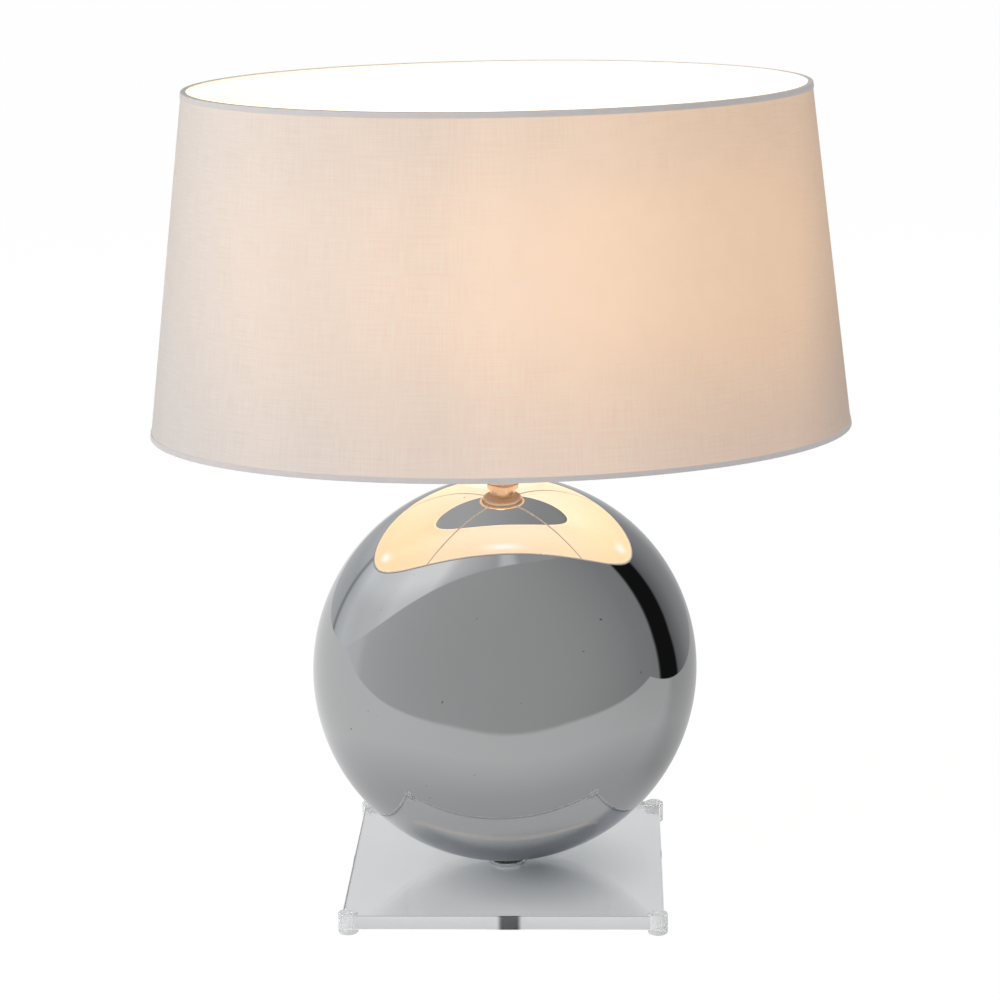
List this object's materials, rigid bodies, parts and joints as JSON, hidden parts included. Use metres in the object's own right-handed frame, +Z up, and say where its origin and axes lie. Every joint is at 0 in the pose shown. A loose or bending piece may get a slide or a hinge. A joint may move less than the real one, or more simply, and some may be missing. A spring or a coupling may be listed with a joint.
{
  "type": "table lamp",
  "caption": "Table lamp with a flattened round mirrored glass body on a clear square plate and a wide oval fabric shade open at top and bottom.",
  "frame": {"origin": "on the table under the middle of the plate, which is also the bottom centre of the whole lamp's box", "axes": "+Z up, +X along the wide side of shade and glass, -Y towards the side seen in the picture"},
  "size_m": [0.447, 0.2832, 0.5236],
  "materials": {
    "clear_acrylic": "clear, polished edges",
    "clear_silicone": "clear, soft",
    "zinc_steel": "zinc plated",
    "mirrored_glass": "smoked mirror under clear glass",
    "black_rubber": "matt",
    "polished_nickel": "polished",
    "holder_white": "moulded, semi-gloss",
    "ceramic": "glazed ceramic",
    "brass": "plain",
    "carrier_steel": "white powder coat",
    "shade_cloth": "fine plain weave",
    "trim_cloth": "rolled edge",
    "white_liner": "smooth film",
    "opal_glass": "opal",
    "bulb_white": "moulded",
    "bulb_cap_metal": "nickel plated",
    "black_glass": "glossy",
    "solder": "soldered"
  },
  "bodies": {
    "stand": {"foot_plate": "clear_acrylic", "foot_front_left": "clear_silicone", "foot_front_right": "clear_silicone", "foot_back_left": "clear_silicone", "foot_back_right": "clear_silicone", "bottom_bush": "clear_silicone", "top_bush": "clear_silicone", "bottom_washer": "zinc_steel", "lock_washer": "zinc_steel", "bottom_nut": "zinc_steel", "top_nut": "zinc_steel", "threaded_rod": "zinc_steel", "lock_screw": "zinc_steel", "glass_body": "mirrored_glass", "cord_grommet": "black_rubber", "rod_bush_bottom": "black_rubber", "rod_bush_top": "black_rubber", "neck_tube": "polished_nickel", "neck_cap": "polished_nickel", "holder_base": "holder_white", "holder_shell": "holder_white", "holder_insert": "ceramic", "terminal_screws": "brass", "centre_contact": "brass", "screw_sleeve": "brass"},
    "lower_ring": {"lower_shade_ring": "holder_white"},
    "shade": {"shade_fabric": "shade_cloth", "shade_liner": "white_liner", "shade_seam": "shade_cloth", "bottom_trim": "trim_cloth", "top_trim": "trim_cloth", "bottom_hoop": "carrier_steel", "top_hoop": "carrier_steel", "carrier_ring": "carrier_steel", "carrier_arm_front_left": "carrier_steel", "carrier_arm_front_right": "carrier_steel", "carrier_arm_back_left": "carrier_steel", "carrier_arm_back_right": "carrier_steel"},
    "upper_ring": {"upper_shade_ring": "holder_white"},
    "bulb": {"bulb_envelope": "opal_glass", "bulb_collar": "bulb_white", "bulb_cap": "bulb_cap_metal", "bulb_insulator": "black_glass", "bulb_button": "solder", "led_column": "bulb_white"}
  },
  "joints": [
    {"name": "shade_turn", "type": "hinge", "parent": "stand", "child": "lower_ring", "pos_m": [0, 0, 0.334], "axis": [0, 0, 1], "continuous": true},
    {"name": "shade_lift", "type": "slide", "parent": "lower_ring", "child": "shade", "axis": [0, 0, 1], "range_m": [0, 0.15]},
    {"name": "ring_turn", "type": "hinge", "parent": "shade", "child": "upper_ring", "pos_m": [0, 0, 0.342], "axis": [0, 0, 1], "continuous": true},
    {"name": "bulb_lift", "type": "slide", "parent": "stand", "child": "bulb", "axis": [0, 0, 1], "range_m": [0, 0.2]}
  ]
}
